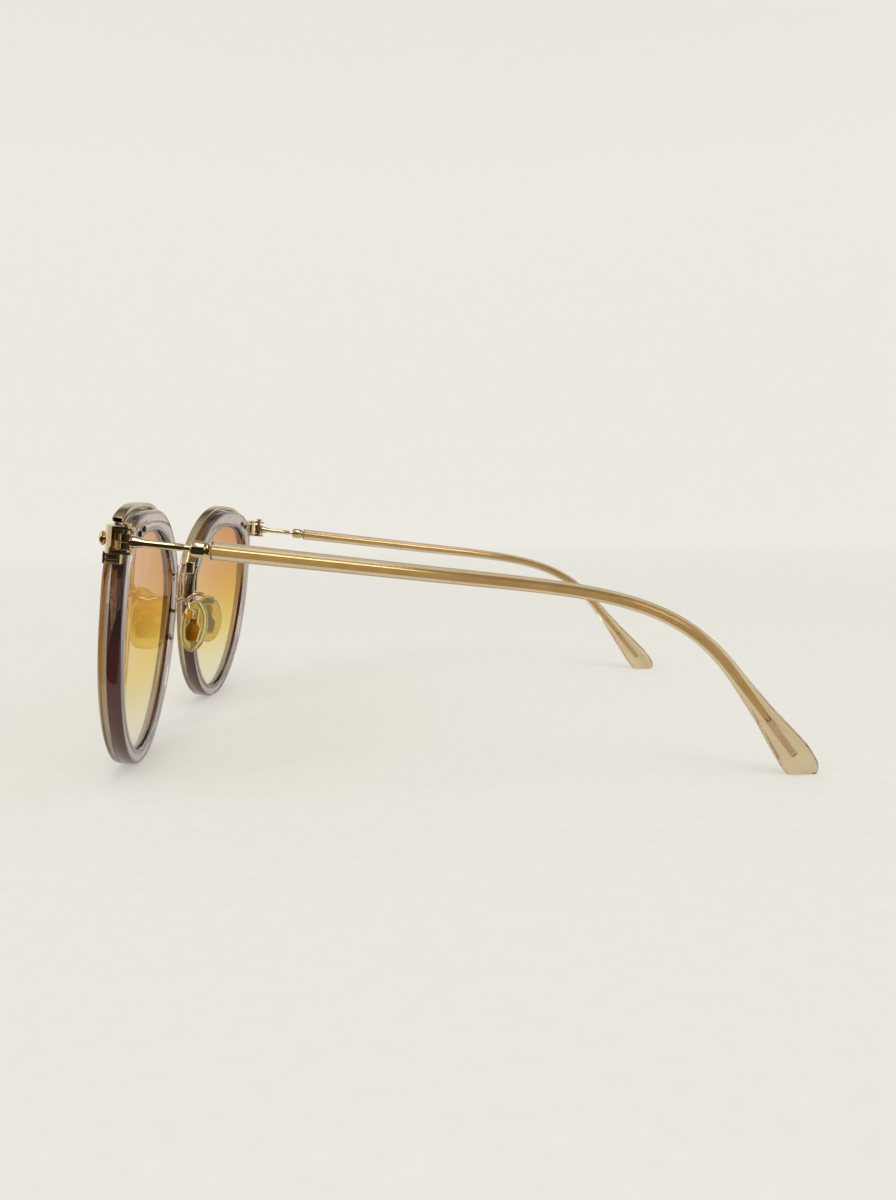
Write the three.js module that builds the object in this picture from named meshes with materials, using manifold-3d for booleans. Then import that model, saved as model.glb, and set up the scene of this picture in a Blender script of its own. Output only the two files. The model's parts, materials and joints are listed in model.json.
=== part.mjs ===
// Metal and resin sunglasses: two separate resin rims joined by a metal bridge, with brow bars,
// adjustable nose pads on wire arms, and wire temples whose rear halves carry resin sleeves.
// Millimetres, +Z up, the front faces -Y, the wearer's left is +X. The glasses stand open on a
// table, on the bottoms of the rims and the tips of the temples.
import * as THREE from "three";
import { mergeVertices } from "three/addons/utils/BufferGeometryUtils.js";
import Module from "manifold-3d";

const wasm = await Module();
wasm.setup();

// Driving dimensions of the front. A rim is described by u (towards the temple), v (up) and
// w (towards the wearer), from its own centre on the front plane.
const FRONT = { y: -0.4, z: 32.75, tilt: THREE.MathUtils.degToRad(-6.4) };
const RIM_PLACE = { x: 35.9, y: 0.63, z: 0.2, wrap: THREE.MathUtils.degToRad(4.3) };
const RIM_DEPTH = 4.2;
const OUTER = { half: 28.4, top: 20.5, bottom: 32.75, corner: 3.6, brow: 1.8, round: 2.0 };
const INNER = { half: 24.2, top: 16.1, bottom: 29.65, corner: 3.2, brow: 1.8, round: 2.0 };
const RIM_STEPS = 56;
const GROOVE = { depth: 0.9, front: 1.3, rear: 3.5 };
const LENS = { edge: 0.6, front: 1.5, rear: 3.3, dome: 1.7 };

// Brow bar: from the temporal end over the top to the nasal end, as angles of the rim outline.
const BROW = { start: 51, end: 161, gap: 0.12, height: 1.13, front: 0, rear: 2.1, steps: 24 };

// Hinge and temple.
const HINGE = { x: 68.8, y: 8.2, z: 15.4 };
const KNUCKLE_R = 1.25;
const KNUCKLE_HALF = 1.35;
const SCREW_R = 0.5;
const RUNNING_GAP = 0.15;
const FIXED_GAP = 0.3;
const WIRE_R = 0.65;
const CORE_R = 0.55;
const CORE_CLEARANCE = 0.28;
const FERRULE_START = 10.8;
const FERRULE_LENGTH = 2.8;
const SLEEVE_START = 14.5;

// Nose pad, about its own centre: x towards the nose, y to the rear, z up.
const PAD = { x: 7.5, y: 7.0, z: -6.9, halfWidth: 3.5, halfHeight: 6.4 };
const PAD_SPLAY = THREE.MathUtils.degToRad(15);
const PAD_FLARE = THREE.MathUtils.degToRad(14);
const PAD_PIVOT = { x: -2.0, z: 2.1 };

const finish = (color, roughness, metalness, opacity = 1) =>
  new THREE.MeshStandardMaterial({ color, roughness, metalness, opacity, transparent: opacity < 1 });
const RESIN = finish(0xa3968c, 0.2, 0, 0.8);
const LENS_TINT = finish(0xe0b25c, 0.05, 0, 0.6);
const GOLD = finish(0xd2b078, 0.22, 1);
const DARK_METAL = finish(0x4a4038, 0.35, 1);
const CHAMPAGNE = finish(0xcfb083, 0.15, 0, 0.75);
const SILICONE = finish(0xb5a35c, 0.35, 0, 0.75);
const AMBER = finish(0xb8842c, 0.3, 0.6);

// ---------------------------------------------------------------- solids

function toSolid(geometry) {
  const g = geometry.clone();
  g.deleteAttribute("normal");
  g.deleteAttribute("uv");
  const merged = mergeVertices(g, 1e-4);
  return new wasm.Manifold(new wasm.Mesh({
    numProp: 3,
    vertProperties: new Float32Array(merged.attributes.position.array),
    triVerts: new Uint32Array(merged.index.array),
  }));
}

function toGeometry(solid) {
  const mesh = solid.getMesh();
  const g = new THREE.BufferGeometry();
  g.setAttribute("position", new THREE.BufferAttribute(mesh.vertProperties, 3));
  g.setIndex(new THREE.BufferAttribute(mesh.triVerts, 1));
  g.computeVertexNormals();
  return g;
}

const join = (...parts) => toGeometry(parts.map(toSolid).reduce((a, b) => a.add(b)));
const cut = (body, ...tools) =>
  toGeometry(tools.map(toSolid).reduce((a, b) => a.subtract(b), toSolid(body)));

// ---------------------------------------------------------------- shapes

// A box between two corners.
function block(low, high) {
  const size = high.map((h, i) => h - low[i]);
  return new THREE.BoxGeometry(...size).translate(...low.map((l, i) => l + size[i] / 2));
}

// An outline in the XY plane, raised from z0 to z1.
function prism(points, z0, z1) {
  const shape = new THREE.Shape(points.map(([x, y]) => new THREE.Vector2(x, y)));
  return new THREE.ExtrudeGeometry(shape, { depth: z1 - z0, bevelEnabled: false }).translate(0, 0, z0);
}

// A cylinder or cone from one point to another.
function rod(from, to, r0, r1 = r0, sides = 16) {
  const a = new THREE.Vector3(...from);
  const b = new THREE.Vector3(...to);
  const along = b.clone().sub(a);
  const g = new THREE.CylinderGeometry(r1, r0, along.length(), sides);
  g.translate(0, along.length() / 2, 0);
  g.applyQuaternion(new THREE.Quaternion().setFromUnitVectors(
    new THREE.Vector3(0, 1, 0), along.normalize()));
  return g.translate(a.x, a.y, a.z);
}

// A turned piece: profile is [radius, distance along the axis] and runs from axis to axis, or closes.
function turned(profile, from, to, sides = 16) {
  const a = new THREE.Vector3(...from);
  const dir = new THREE.Vector3(...to).sub(a).normalize();
  const g = new THREE.LatheGeometry(profile.map(([r, h]) => new THREE.Vector2(r, h)), sides);
  g.applyQuaternion(new THREE.Quaternion().setFromUnitVectors(new THREE.Vector3(0, 1, 0), dir));
  return g.translate(a.x, a.y, a.z);
}

// A closed cylinder laid along a curve. section(t, angle) gives the half sizes [across, up], where
// across is the side direction and up is square to it and to the curve.
function sweep(curve, sides, steps, side, section) {
  const g = new THREE.CylinderGeometry(1, 1, 1, sides, steps);
  const p = g.attributes.position;
  for (let i = 0; i < p.count; i++) {
    const t = THREE.MathUtils.clamp(p.getY(i) + 0.5, 0, 1);
    const tangent = curve.getTangentAt(t);
    const across = side.clone().addScaledVector(tangent, -side.dot(tangent)).normalize();
    const up = across.clone().cross(tangent);
    const [a, b] = section(t);
    const at = curve.getPointAt(t);
    at.addScaledVector(across, p.getX(i) * a).addScaledVector(up, p.getZ(i) * b);
    p.setXYZ(i, at.x, at.y, at.z);
  }
  return g;
}

// The same surface with its faces turned, for a shape that was mirrored.
const flipped = (g) => {
  const order = g.index ? g : mergeVertices(g);
  const index = order.index.array;
  for (let i = 0; i < index.length; i += 3) [index[i], index[i + 1]] = [index[i + 1], index[i]];
  return order;
};

const curveThrough = (points) =>
  new THREE.CatmullRomCurve3(points.map((q) => new THREE.Vector3(...q)), false, "centripetal");

// ---------------------------------------------------------------- rim outline

const powered = (value, exponent) => Math.sign(value) * Math.abs(value) ** (2 / exponent);

// A point of a rim outline at an angle from the temporal side. The upper temporal quarter is
// squarer than the rest, the upper nasal one flatter, and the lower half deeper than the upper one.
function outline(o, angle) {
  const c = Math.cos(angle);
  const s = Math.sin(angle);
  const upper = c > 0 ? o.corner : o.brow;
  const n = s > 0 ? upper : o.round;
  return new THREE.Vector2(o.half * powered(c, n), (s > 0 ? o.top : o.bottom) * powered(s, n));
}

// Angles spread so that neighbouring outline points lie about the same distance apart.
function evenAngles(o, count) {
  const fine = 2880;
  const at = Array.from({ length: fine + 1 }, (_, i) => (2 * Math.PI * i) / fine);
  const length = [0];
  for (let i = 1; i <= fine; i++)
    length.push(length[i - 1] + outline(o, at[i]).distanceTo(outline(o, at[i - 1])));
  const angles = [];
  for (let k = 0, i = 0; k < count; k++) {
    while (length[i + 1] < (k / count) * length[fine]) i++;
    angles.push(at[i]);
  }
  return angles;
}

const RIM_ANGLES = evenAngles(OUTER, RIM_STEPS);

// The direction square to the outline, pointing out of the rim.
function outward(o, angle) {
  const step = 1e-3;
  const along = outline(o, angle + step).sub(outline(o, angle - step)).normalize();
  return new THREE.Vector2(along.y, -along.x);
}

// A point from rim coordinates: u, v on the front plane and w behind it.
const rimPoint = (u, v, w) => [u, w, v];

// The section of a rim, from the outer wall over the front face to the groove and the rear face:
// [share of the band, extra distance from the inner edge, depth].
const RIM_SECTION = [
  [1, 0, 2.1], [1, -0.12, 1.0], [1, -0.5, 0.3], [1, -1.3, 0], [0, 1.2, 0], [0, 0.4, 0.3],
  [0, 0, 0.95], [0, 0, GROOVE.front], [0, GROOVE.depth, GROOVE.front],
  [0, GROOVE.depth, GROOVE.rear], [0, 0, GROOVE.rear], [0, 0.15, 3.8], [0, 0.6, RIM_DEPTH],
  [1, -1.2, RIM_DEPTH], [1, -0.4, 3.85], [1, -0.08, 3.2],
];

function rimRing() {
  const g = new THREE.TorusGeometry(1, 0.2, RIM_SECTION.length, RIM_STEPS);
  const p = g.attributes.position;
  const row = RIM_STEPS + 1;
  for (let i = 0; i < p.count; i++) {
    const angle = RIM_ANGLES[(i % row) % RIM_STEPS];
    const [share, extra, w] = RIM_SECTION[Math.floor(i / row) % RIM_SECTION.length];
    const a = outline(INNER, angle);
    const band = outline(OUTER, angle).sub(a);
    const width = band.length();
    const q = a.addScaledVector(band, share + extra / width);
    p.setXYZ(i, ...rimPoint(q.x, q.y, w));
  }
  return g;
}

// A filled disc with the rim's outline, grown by `grow`, whose rows are [share of radius, depth].
function rimDisc(o, grow, rows) {
  const g = new THREE.SphereGeometry(1, RIM_STEPS, rows.length - 1);
  const p = g.attributes.position;
  const row = RIM_STEPS + 1;
  for (let i = 0; i < p.count; i++) {
    const angle = RIM_ANGLES[((i % row) + RIM_STEPS / 2) % RIM_STEPS];
    const [share, w] = rows[Math.floor(i / row)];
    const q = outline(o, angle).addScaledVector(outward(o, angle), grow).multiplyScalar(share);
    p.setXYZ(i, ...rimPoint(q.x, q.y, w));
  }
  return g;
}

function lensDisc() {
  const bow = (share) => -LENS.dome * (1 - share * share);
  const shares = [0, 0.45, 0.8, 1];
  const front = shares.map((s) => [s, LENS.front + bow(s)]);
  const rear = shares.map((s) => [s, LENS.rear + bow(s)]).reverse();
  return rimDisc(INNER, LENS.edge, [...front, ...rear]);
}

// ---------------------------------------------------------------- pieces fixed to a rim

// The metal tongue of the end piece lies in the thick upper temporal part of the rim, [u, v].
const TONGUE = [[27.6, 12.6], [19.2, 16.0], [13.5, 17.2]];
const TONGUE_HALF = 0.65;
const TONGUE_FRONT = 2.3;
const TONGUE_REAR = 3.2;
const RIVETS = [[19.0, 16.05], [15.6, 16.85]];

function tongue(half, slack) {
  const left = [];
  const right = [];
  TONGUE.forEach(([u, v], i) => {
    const before = TONGUE[Math.max(i - 1, 0)];
    const after = TONGUE[Math.min(i + 1, TONGUE.length - 1)];
    const along = new THREE.Vector2(after[0] - before[0], after[1] - before[1]).normalize();
    const reach = i === TONGUE.length - 1 ? slack : 0;
    left.push([u + along.x * reach - along.y * half, v + along.y * reach + along.x * half]);
    right.unshift([u + along.x * reach + along.y * half, v + along.y * reach - along.x * half]);
  });
  const g = prism([...left, ...right], TONGUE_FRONT - slack, TONGUE_REAR + slack);
  return flipped(g.applyMatrix4(new THREE.Matrix4().set(1, 0, 0, 0, 0, 0, 1, 0, 0, 1, 0, 0, 0, 0, 0, 1)));
}

// Pins pressed sideways into the nasal wall of a rim, at their heights v.
const NASAL_PIN_W = 3.0;
const PIN_R = 0.42;
const NASAL_PINS = { bridge_pin: 5.6, pad_arm_pin: -3.7, lower_pin: -10.2 };

function nasalWall(v) {
  const [height, n] = v > 0 ? [OUTER.top, OUTER.brow] : [OUTER.bottom, OUTER.round];
  return -OUTER.half * (1 - (Math.abs(v) / height) ** n) ** (1 / n);
}

const nasalPin = (v, r, into, out) =>
  rod(rimPoint(nasalWall(v) + into, v, NASAL_PIN_W), rimPoint(nasalWall(v) - out, v, NASAL_PIN_W), r);

function rimGeometry() {
  const holes = Object.values(NASAL_PINS).map((v) => nasalPin(v, PIN_R + 0.2, 2.3, 2));
  const rivetHoles = RIVETS.map(([u, v]) =>
    rod(rimPoint(u, v, TONGUE_REAR - 0.2), rimPoint(u, v, RIM_DEPTH + 1), PIN_R + 0.2));
  const slot = tongue(TONGUE_HALF + FIXED_GAP, FIXED_GAP);
  return cut(rimRing(), slot, ...holes, ...rivetHoles);
}

function rivet([u, v]) {
  const face = RIM_DEPTH + 0.12;
  const profile = [[0, -0.65], [PIN_R, -0.65], [PIN_R, 0], [0.72, 0], [0.66, 0.25], [0.4, 0.42], [0, 0.45]];
  return turned(profile, rimPoint(u, v, face), rimPoint(u, v, face + 1), 12);
}

// A brow bar follows the outer wall of the rim, outside it, and is open at its temporal end.
function browBar() {
  const { start, end, gap, height, front, rear, steps } = BROW;
  const angleAt = (t) => THREE.MathUtils.degToRad(start + (end - start) * t);
  const section = (t, x, z) => {
    const angle = angleAt(t);
    const out = outward(OUTER, angle);
    const taper = 1 - 0.25 * Math.max(0, (t - 0.8) / 0.2);
    const mid = gap + (height * taper) / 2;
    const lift = mid + (height / 2) * taper * x;
    const q = outline(OUTER, angle).addScaledVector(out, lift);
    return rimPoint(q.x, q.y, (front + rear) / 2 - ((rear - front) / 2) * z);
  };
  const bar = (from, to, shrink, n) => {
    const g = new THREE.CylinderGeometry(1, 1, 1, 12, n);
    const p = g.attributes.position;
    const squared = (c) => (Math.abs(c) < 1e-6 ? 0 : Math.sign(c) * Math.abs(c) ** 0.45 * shrink);
    for (let i = 0; i < p.count; i++) {
      const t = from + (to - from) * (p.getY(i) + 0.5);
      p.setXYZ(i, ...section(t, squared(p.getX(i)), squared(p.getZ(i))));
    }
    return g;
  };
  return cut(bar(0, 1, 1, steps), bar(-0.03, 0.05, 0.62, 4));
}

// ---------------------------------------------------------------- end piece and hinge

// The end piece seen from above, in front coordinates [x, y]: from the rim out to the hinge.
const BRACKET_PLAN = [
  [55, 1.7], [60, 3.0], [64.5, 3.4], [67, 4.1], [69.9, 5.4], [70.5, 6.5], [70.5, 8.3], [70.0, 9.4],
  [68.8, 9.9], [67.6, 9.4], [67.1, 8.3], [66.6, 6.7], [60, 6.4], [55, 5.4],
];
const POCKET_PLAN = [
  [65.3, 4.4], [66.8, 4.7], [69.4, 5.9], [72, 7.2], [72, 12], [66.8, 12], [66.8, 7.2], [65.3, 7.2],
];
const BRACKET = { bottom: 13.15, top: 17.95, sheet: 0.75 };
const FOOT = { bottom: 11.0, outer: 65.2, recesses: [[0.9, 12.1, 12.85], [0.6, 11.25, 11.8]] };
const STUD = { x: 64.0, y: 3.1, z: 15.4, shank: 0.6 };

// The rim's outer wall as a plug, placed in front coordinates, for trimming what meets the rim.
const placeRim = new THREE.Matrix4().makeRotationZ(RIM_PLACE.wrap)
  .setPosition(RIM_PLACE.x, RIM_PLACE.y, RIM_PLACE.z);

function endPiece() {
  const { bottom, top, sheet } = BRACKET;
  const rimPlug = rimDisc(OUTER, FIXED_GAP, [[0, -4], [1, -4], [1, 9], [0, 9]]).applyMatrix4(placeRim);
  const bracket = join(
    prism(BRACKET_PLAN, bottom, top),
    block([59, 3.2, FOOT.bottom], [FOOT.outer, 6.3, bottom + 0.2]),
  );
  const body = join(cut(bracket, rimPlug), tongue(TONGUE_HALF, 0).applyMatrix4(placeRim));
  const recesses = FOOT.recesses.map(([depth, low, high]) =>
    block([FOOT.outer - depth, 3.7, low], [FOOT.outer + 1, 5.9, high]));
  return cut(
    body,
    ...recesses,
    prism(POCKET_PLAN, bottom + sheet, top - sheet * 0.8),
    rod([HINGE.x, HINGE.y, bottom - 1], [HINGE.x, HINGE.y, top + 1], SCREW_R + 0.2),
    rod([STUD.x, STUD.y - 1.5, STUD.z], [STUD.x, STUD.y + 1, STUD.z], STUD.shank + 0.2),
  );
}

function frontStud() {
  const { shank } = STUD;
  const profile = [
    [0, -0.7], [shank, -0.7], [shank, 0.15], [1.3, 0.15], [1.25, 0.5], [0.8, 0.85], [0, 0.95],
  ];
  return turned(profile, [STUD.x, STUD.y, STUD.z], [STUD.x, 0, STUD.z]);
}

function hingeScrew() {
  const low = HINGE.z - BRACKET.bottom;
  const high = BRACKET.top - HINGE.z;
  const profile = [
    [0, -low + 0.1], [SCREW_R, -low + 0.1], [SCREW_R, high + 0.25], [0.95, high + 0.25],
    [0.9, high + 0.55], [0.55, high + 0.75], [0, high + 0.78],
  ];
  const head = turned(profile, [HINGE.x, HINGE.y, HINGE.z], [HINGE.x, HINGE.y, HINGE.z + 1]);
  const slot = block([HINGE.x - 1.2, HINGE.y - 0.12, BRACKET.top + 0.55],
    [HINGE.x + 1.2, HINGE.y + 0.12, BRACKET.top + 2]);
  return cut(head, slot);
}

// ---------------------------------------------------------------- temple

// Tilts a point or a piece from the upright front to the way the front leans on the table.
const lean = new THREE.Matrix4().makeRotationX(FRONT.tilt).setPosition(0, FRONT.y, FRONT.z);
const hingeOnTable = new THREE.Vector3(HINGE.x, HINGE.y, HINGE.z).applyMatrix4(lean);

// The temple's centre line on the table: straight, then bent down behind the ear, [x, y, z].
const BEND_START = new THREE.Vector3(66.8, 60, 40.55);
const BEND_END = new THREE.Vector3(62.9, 118.2, 20.2);
const TIP = new THREE.Vector3(59.8, 134.2, -0.7);
// How far the two straight runs pull on the bend.
const BEND_REACH = [32, 20];
// The sleeve's tip is ground flat where it rests: everything in this block goes.
const TIP_FLAT = { low: [50, 120, -5], high: [70, 145, 0.07] };

function templePath() {
  const straight = BEND_START.clone().sub(hingeOnTable);
  const drop = TIP.clone().sub(BEND_END);
  const path = new THREE.CurvePath();
  path.add(new THREE.LineCurve3(hingeOnTable.clone(), BEND_START));
  path.add(new THREE.CubicBezierCurve3(
    BEND_START,
    BEND_START.clone().addScaledVector(straight.normalize(), BEND_REACH[0]),
    BEND_END.clone().addScaledVector(drop.normalize(), -BEND_REACH[1]),
    BEND_END,
  ));
  path.add(new THREE.LineCurve3(BEND_END, TIP));
  return path;
}

const TEMPLE_PATH = templePath();
const TEMPLE_LENGTH = TEMPLE_PATH.getLength();
const CORE_END = TEMPLE_LENGTH - 14.8;
const SLOT_END = TEMPLE_LENGTH - 5.9;
const BEND_AT = 54;
const CORE_STEP = 9.8;
const CONE = { start: 0.75, shoulder: 1.3, end: 3.3, wide: 1.1 };
const SIDEWAYS = new THREE.Vector3(1, 0, 0);

// Half thickness (sideways) and half height of the sleeve, at a distance from its end at the tip.
const SLEEVE_SIZES = [
  [0, 0.9, 1.7], [0.6, 1.1, 2.5], [1.8, 1.18, 3.05], [5.6, 1.2, 3.35], [11, 1.25, 2.75],
  [16.2, 1.3, 2.1], [26, 1.33, 1.45], [36, 1.3, 1.3], [55, 1.27, 1.27], [80, 1.42, 1.42],
  [125, 1.63, 1.63],
];

function sleeveSize(fromTip) {
  const i = SLEEVE_SIZES.findIndex(([d]) => d >= fromTip);
  if (i <= 0) return SLEEVE_SIZES[i === 0 ? 0 : SLEEVE_SIZES.length - 1].slice(1);
  const [d0, a0, b0] = SLEEVE_SIZES[i - 1];
  const [d1, a1, b1] = SLEEVE_SIZES[i];
  const k = (fromTip - d0) / (d1 - d0);
  return [a0 + (a1 - a0) * k, b0 + (b1 - b0) * k];
}

function templeSleeve() {
  const start = SLEEVE_START;
  const tipAt = TEMPLE_LENGTH - 4;
  const outer = (s) => sleeveSize(TEMPLE_LENGTH - s);
  const round = CORE_R + CORE_CLEARANCE;
  const bore = (s) => (s > CORE_END + 0.5 ? [0.5, 0.75] : [round, round]);
  const body = stationed(stations([start, BEND_AT, tipAt, TEMPLE_LENGTH], [6, 24, 5]), 12, outer);
  const hollow = stationed(
    stations([start - 1, BEND_AT, CORE_END + 0.4, CORE_END + 0.6, SLOT_END], [4, 18, 1, 2]), 8, bore);
  return cut(body, hollow, block(TIP_FLAT.low, TIP_FLAT.high));
}

// Distances along the temple: `counts` even steps between each two of `marks`.
function stations(marks, counts) {
  const found = counts.flatMap((n, i) =>
    Array.from({ length: n }, (_, k) => marks[i] + ((marks[i + 1] - marks[i]) * k) / n));
  return [...found, marks.at(-1)];
}

// A closed tube along the temple with its rings at the given distances from the hinge.
function stationed(stations, sides, size) {
  const last = stations.length - 1;
  const g = new THREE.CylinderGeometry(1, 1, 1, sides, last);
  const p = g.attributes.position;
  for (let i = 0; i < p.count; i++) {
    const s = stations[Math.round((p.getY(i) + 0.5) * last)];
    const at = TEMPLE_PATH.getPointAt(s / TEMPLE_LENGTH);
    const tangent = TEMPLE_PATH.getTangentAt(s / TEMPLE_LENGTH);
    const across = SIDEWAYS.clone().addScaledVector(tangent, -tangent.x).normalize();
    const up = across.clone().cross(tangent);
    const [a, b] = size(s);
    at.addScaledVector(across, p.getX(i) * a).addScaledVector(up, p.getZ(i) * b);
    p.setXYZ(i, at.x, at.y, at.z);
  }
  return g;
}

function templeCore() {
  const half = KNUCKLE_HALF;
  const bore = SCREW_R + RUNNING_GAP;
  const barrel = turned(
    [[bore, -half], [KNUCKLE_R, -half], [KNUCKLE_R, -0.15], [KNUCKLE_R - 0.2, -0.1], [KNUCKLE_R - 0.2, 0.1],
      [KNUCKLE_R, 0.15], [KNUCKLE_R, half], [bore, half], [bore, -half]],
    [HINGE.x, HINGE.y, HINGE.z], [HINGE.x, HINGE.y, HINGE.z + 1], 28,
  ).applyMatrix4(lean);
  const { start, shoulder, end, wide } = CONE;
  const size = (s) => {
    const r = s < end
      ? THREE.MathUtils.mapLinear(Math.max(s, shoulder), shoulder, end, wide, WIRE_R)
      : s < CORE_STEP ? WIRE_R : CORE_R;
    return [r, r];
  };
  const marks = [start, shoulder, end, CORE_STEP - 0.1, CORE_STEP + 0.1, 35, BEND_AT, CORE_END];
  const wire = toSolid(stationed(stations(marks, [1, 1, 1, 1, 1, 1, 16]), 8, size));
  const hole = toSolid(rod([HINGE.x, HINGE.y, HINGE.z - 3], [HINGE.x, HINGE.y, HINGE.z + 3], bore, bore, 28)
    .applyMatrix4(lean));
  return toGeometry(wire.add(toSolid(barrel)).subtract(hole));
}

// The ferrule that ends the sleeve: a collar with a thinner neck towards the sleeve.
function ferrule() {
  const from = TEMPLE_PATH.getPointAt((FERRULE_START + 0.2) / TEMPLE_LENGTH);
  const to = TEMPLE_PATH.getPointAt((FERRULE_START + 2) / TEMPLE_LENGTH);
  const bore = CORE_R + 0.2;
  const end = FERRULE_LENGTH;
  const neck = SLEEVE_START - FERRULE_START - 0.45;
  const profile = [
    [bore, 0], [1.15, 0], [1.45, 0.35], [1.45, end - 0.3], [1.2, end], [1.2, neck], [bore, neck], [bore, 0],
  ];
  return turned(profile, from.toArray(), to.toArray(), 24);
}

// ---------------------------------------------------------------- nose pad

// Pad coordinates to front coordinates: x towards the nose, y to the rear, z up.
function padPlace() {
  const nose = new THREE.Vector3(-Math.cos(PAD_SPLAY), Math.sin(PAD_SPLAY), 0);
  const down = new THREE.Vector3(Math.sin(PAD_FLARE), 0, -Math.cos(PAD_FLARE));
  const up = down.negate();
  const x = nose.addScaledVector(up, -nose.dot(up)).normalize();
  const y = up.clone().cross(x);
  return new THREE.Matrix4().makeBasis(x, y, up).setPosition(PAD.x, PAD.y, PAD.z);
}
const PAD_PLACE = padPlace();

// A pad: flat where it bears on the nose, rounded at the edge. Rows are [share of size, height].
const PAD_ROWS = [
  [0, 1.15], [0.6, 1.15], [0.8, 1.0], [0.93, 0.65], [1, 0.1], [0.96, -0.5], [0.84, -0.85], [0, -0.95],
];
const INSERT_PLAN = [
  [-1.3, -3.7], [1.3, -3.7], [1.9, -0.6], [0.9, 0.4], [0.9, 3.9], [-0.9, 3.9], [-0.9, 0.4], [-1.9, -0.6],
];

function padBody() {
  const sides = 24;
  const g = new THREE.SphereGeometry(1, sides, PAD_ROWS.length - 1);
  const p = g.attributes.position;
  for (let i = 0; i < p.count; i++) {
    const angle = (2 * Math.PI * (i % (sides + 1))) / sides;
    const [share, x] = PAD_ROWS[Math.floor(i / (sides + 1))];
    const y = PAD.halfWidth * share * Math.cos(angle);
    const z = PAD.halfHeight * share * Math.sin(angle);
    p.setXYZ(i, x, y, z);
  }
  return g;
}

// A flat plan [y, z] in pad coordinates, raised along x.
function padPrism(plan, x0, x1) {
  return prism(plan, x0, x1).applyMatrix4(new THREE.Matrix4().makeBasis(
    new THREE.Vector3(0, 1, 0), new THREE.Vector3(0, 0, 1), new THREE.Vector3(1, 0, 0)));
}

// A plan grown by a margin: sideways everywhere, and past its two ends.
function grown(plan, by) {
  const ends = (z) => (z > 1 ? by : z < -2 ? -by : 0);
  return plan.map(([y, z]) => [y + Math.sign(y) * by, z + ends(z)]);
}

function nosePad() {
  const slot = padPrism(grown(INSERT_PLAN, 0.2), -1.5, 0.15);
  return cut(padBody(), slot).applyMatrix4(PAD_PLACE);
}

const TAB = { half: 0.45, back: -2.75, top: 3.4, bottom: 1.4 };

function padInsert() {
  const plate = padPrism(INSERT_PLAN, -0.85, -0.05);
  const tab = block([TAB.back, -TAB.half, TAB.bottom], [-0.8, TAB.half, TAB.top]);
  const { x, z } = PAD_PIVOT;
  return cut(join(plate, tab), rod([x, -3, z], [x, 3, z], 0.35 + RUNNING_GAP)).applyMatrix4(PAD_PLACE);
}

const CHEEK = { inner: 0.7, outer: 1.15, back: -3.5, front: -1.4, top: 3.5, bottom: 1.3 };

function padScrew() {
  const { x, z } = PAD_PIVOT;
  const y = CHEEK.outer;
  const profile = [
    [0, -y - 0.2], [0.35, -y - 0.2], [0.35, y + 0.2], [0.75, y + 0.2], [0.7, y + 0.55], [0.4, y + 0.75],
    [0, y + 0.78],
  ];
  return turned(profile, [x, 0, z], [x, 1, z], 16).applyMatrix4(PAD_PLACE);
}

// The wire arm of a pad: from the nasal wall of the rim, up and back in a loop, down to the box.
function padArm() {
  const { inner, outer, back, front, top, bottom } = CHEEK;
  const box = cut(
    block([back, -outer, bottom], [front, outer, top]),
    block([back + 0.45, -inner, bottom - 1], [front + 1, inner, top + 1]),
    rod([PAD_PIVOT.x, -3, PAD_PIVOT.z], [PAD_PIVOT.x, 3, PAD_PIVOT.z], 0.35 + 0.2),
  ).applyMatrix4(PAD_PLACE);
  const onBox = new THREE.Vector3(back + 0.25, 0, 2.6).applyMatrix4(PAD_PLACE);
  const v = NASAL_PINS.pad_arm_pin;
  const root = new THREE.Vector3(...rimPoint(nasalWall(v) - 0.65, v, NASAL_PIN_W)).applyMatrix4(placeRim);
  const path = curveThrough([
    root.toArray(),
    [6.5, 2.1, -1.9],
    [7.1, 3.6, -0.75],
    [8.5, 5.2, -1.0],
    [9.9, 6.2, -2.6],
    onBox.toArray(),
  ]);
  const wire = sweep(path, 8, 18, new THREE.Vector3(1, 0, 0.2), () => [0.5, 0.5]);
  return join(wire, box);
}

// A stay that ties the bridge to the pad arm behind the nasal edge of the rim.
function padStay() {
  const path = curveThrough([[7.6, 3.5, 5.4], [7.15, 3.4, 3.0], [7.0, 3.45, 0.3]]);
  return sweep(path, 8, 6, SIDEWAYS, () => [0.42, 0.42]);
}

// ---------------------------------------------------------------- bridge

const mirrored = (g) => flipped(mergeVertices(g.clone()).scale(-1, 1, 1));

function bridgeGeometry() {
  const end = new THREE.Vector3(...rimPoint(nasalWall(6) - 0.95, 6, NASAL_PIN_W)).applyMatrix4(placeRim);
  const half = [[end.x, end.y, end.z], [6.1, 1.75, 7.45], [3.2, 2.1, 7.95]];
  const otherHalf = half.map(([x, y, z]) => [-x, y, z]).reverse();
  const path = curveThrough([...half, [0, 2.2, 8.1], ...otherHalf]);
  const arch = sweep(path, 12, 20, new THREE.Vector3(0, 1, 0), () => [0.85, 1.1]);
  const foot = block([end.x - 1.5, end.y - 0.9, 4.3], [end.x + 0.2, end.y + 1.0, 7.4]);
  const plug = rimDisc(OUTER, 0.2, [[0, -4], [1, -4], [1, 7], [0, 7]]).applyMatrix4(placeRim);
  const pinHole = nasalPin(NASAL_PINS.bridge_pin, PIN_R + 0.2, 2, 1.2).applyMatrix4(placeRim);
  const cutters = [plug, pinHole, mirrored(plug), mirrored(pinHole)];
  return cut(join(arch, foot, mirrored(foot)), ...cutters);
}

// ---------------------------------------------------------------- assembly

const part = (name, geometry, material) => {
  const mesh = new THREE.Mesh(geometry, material);
  mesh.name = name;
  return mesh;
};

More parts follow.
